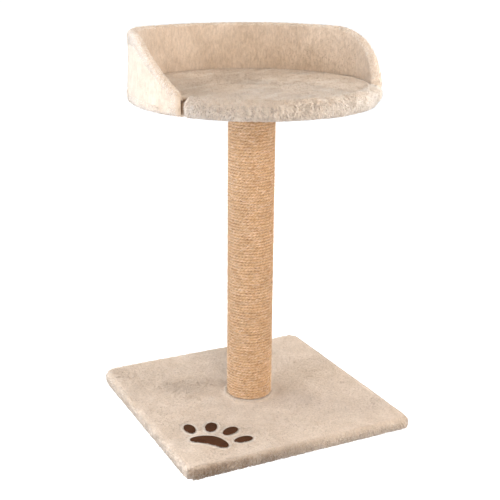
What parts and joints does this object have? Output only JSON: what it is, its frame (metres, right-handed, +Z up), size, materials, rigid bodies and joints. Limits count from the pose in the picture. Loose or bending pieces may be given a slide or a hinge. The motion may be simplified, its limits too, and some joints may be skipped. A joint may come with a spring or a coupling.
{
  "type": "cat scratching post",
  "caption": "Free-standing scratching post: square plush base, sisal-wound column and a round padded seat with a plush back wall.",
  "frame": {"origin": "the post's axis at floor level, under the middle of the base", "axes": "+Z up, -Y towards the open front of the seat, +X to the right seen from the front"},
  "size_m": [0.39, 0.3916, 0.6122],
  "materials": {
    "plush": "short beige pile",
    "sisal": "twisted golden sisal rope",
    "stitching": "dark brown satin stitching",
    "liner_cloth": "thin non-woven cloth",
    "foam": "soft wadding",
    "chipboard": "raw chipboard",
    "hardboard": "smooth brown hardboard",
    "plug_wood": "raw softwood",
    "cardboard": "wound cardboard tube",
    "steel": "zinc plated"
  },
  "bodies": {
    "root": {"base_cover": "plush", "base_board": "chipboard", "base_washer": "steel", "base_bolt": "steel", "paw_pad": "stitching", "paw_toe_1": "stitching", "paw_toe_2": "stitching", "paw_toe_3": "stitching", "paw_toe_4": "stitching", "post_tube": "cardboard", "post_plug_bottom": "plug_wood", "post_plug_top": "plug_wood", "post_insert_bottom": "steel", "post_insert_top": "steel", "post_stud": "steel", "sisal_winding": "sisal", "seat_board": "chipboard", "seat_tee_nut": "steel", "seat_padding": "foam", "seat_cover": "plush", "seat_liner": "liner_cloth", "wall_cover": "plush", "wall_padding": "foam", "wall_panel": "hardboard", "wall_screw_1": "steel", "wall_screw_2": "steel", "wall_screw_3": "steel", "wall_screw_4": "steel", "wall_screw_5": "steel", "wall_screw_6": "steel"}
  },
  "joints": []
}
